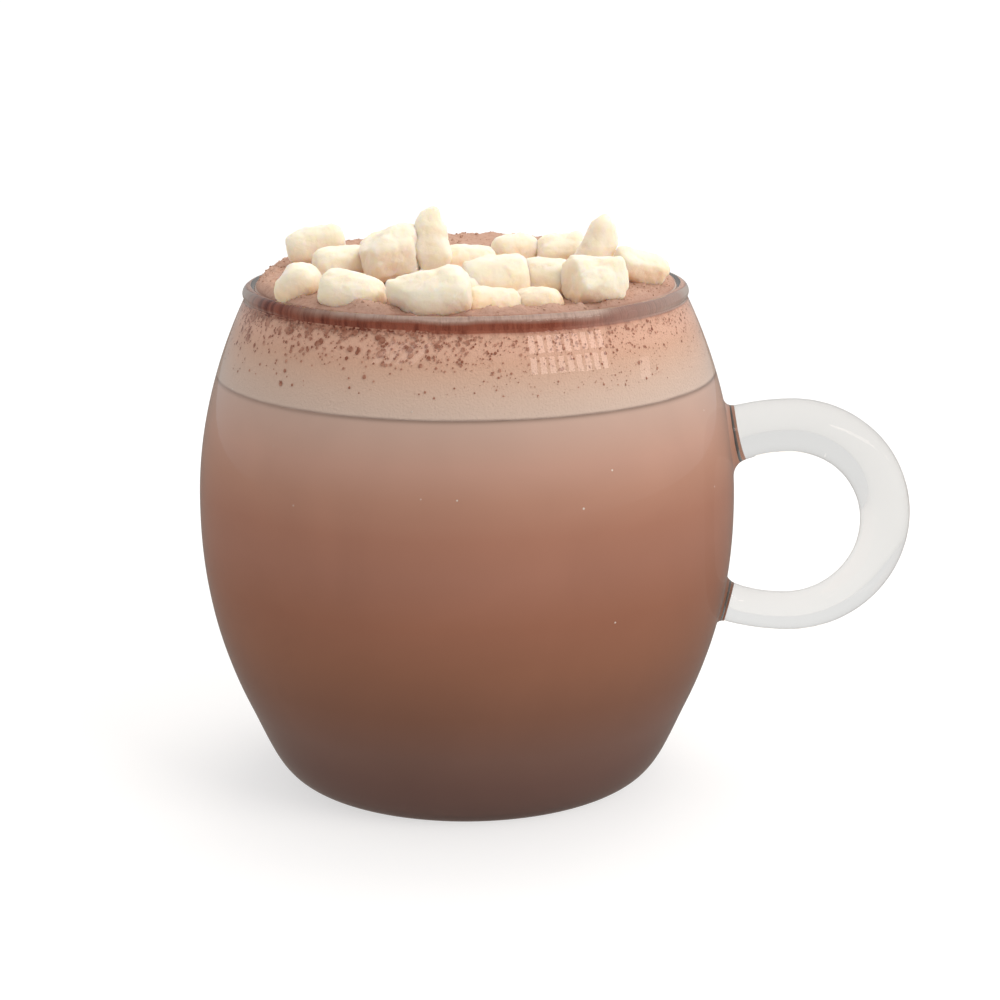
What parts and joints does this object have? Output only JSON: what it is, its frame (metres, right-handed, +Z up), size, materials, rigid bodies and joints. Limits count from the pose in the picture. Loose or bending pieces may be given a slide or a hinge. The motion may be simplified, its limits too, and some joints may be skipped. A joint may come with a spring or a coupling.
{
  "type": "hot chocolate in a glass mug",
  "caption": "Round-bellied clear glass mug with a ring handle, filled with hot chocolate under a domed crown of foam and a heap of small marshmallows.",
  "frame": {"origin": "middle of the flat foot that the mug stands on, on the mug's axis", "axes": "+Z up along the mug's axis, +X towards the handle, -Y towards the viewer with the handle on the right"},
  "size_m": [0.1227, 0.092, 0.0992],
  "materials": {
    "clear_glass": "blown clear glass, smooth and polished",
    "cocoa_drink": "milky cocoa, darker towards the bottom, seen through the glass",
    "milk_foam": "fine milk foam with cocoa dust and small bubbles near the lip",
    "marshmallow": "soft, powdery and slightly uneven marshmallow"
  },
  "bodies": {
    "root": {"glass": "clear_glass", "drink": "cocoa_drink", "foam": "milk_foam", "marshmallow_1": "marshmallow", "marshmallow_2": "marshmallow", "marshmallow_3": "marshmallow", "marshmallow_4": "marshmallow", "marshmallow_5": "marshmallow", "marshmallow_6": "marshmallow", "marshmallow_7": "marshmallow", "marshmallow_8": "marshmallow", "marshmallow_9": "marshmallow", "marshmallow_10": "marshmallow", "marshmallow_11": "marshmallow", "marshmallow_12": "marshmallow", "marshmallow_13": "marshmallow", "marshmallow_14": "marshmallow", "marshmallow_15": "marshmallow", "marshmallow_16": "marshmallow", "marshmallow_17": "marshmallow", "marshmallow_18": "marshmallow", "marshmallow_19": "marshmallow", "marshmallow_20": "marshmallow", "marshmallow_21": "marshmallow", "marshmallow_22": "marshmallow"}
  },
  "joints": []
}
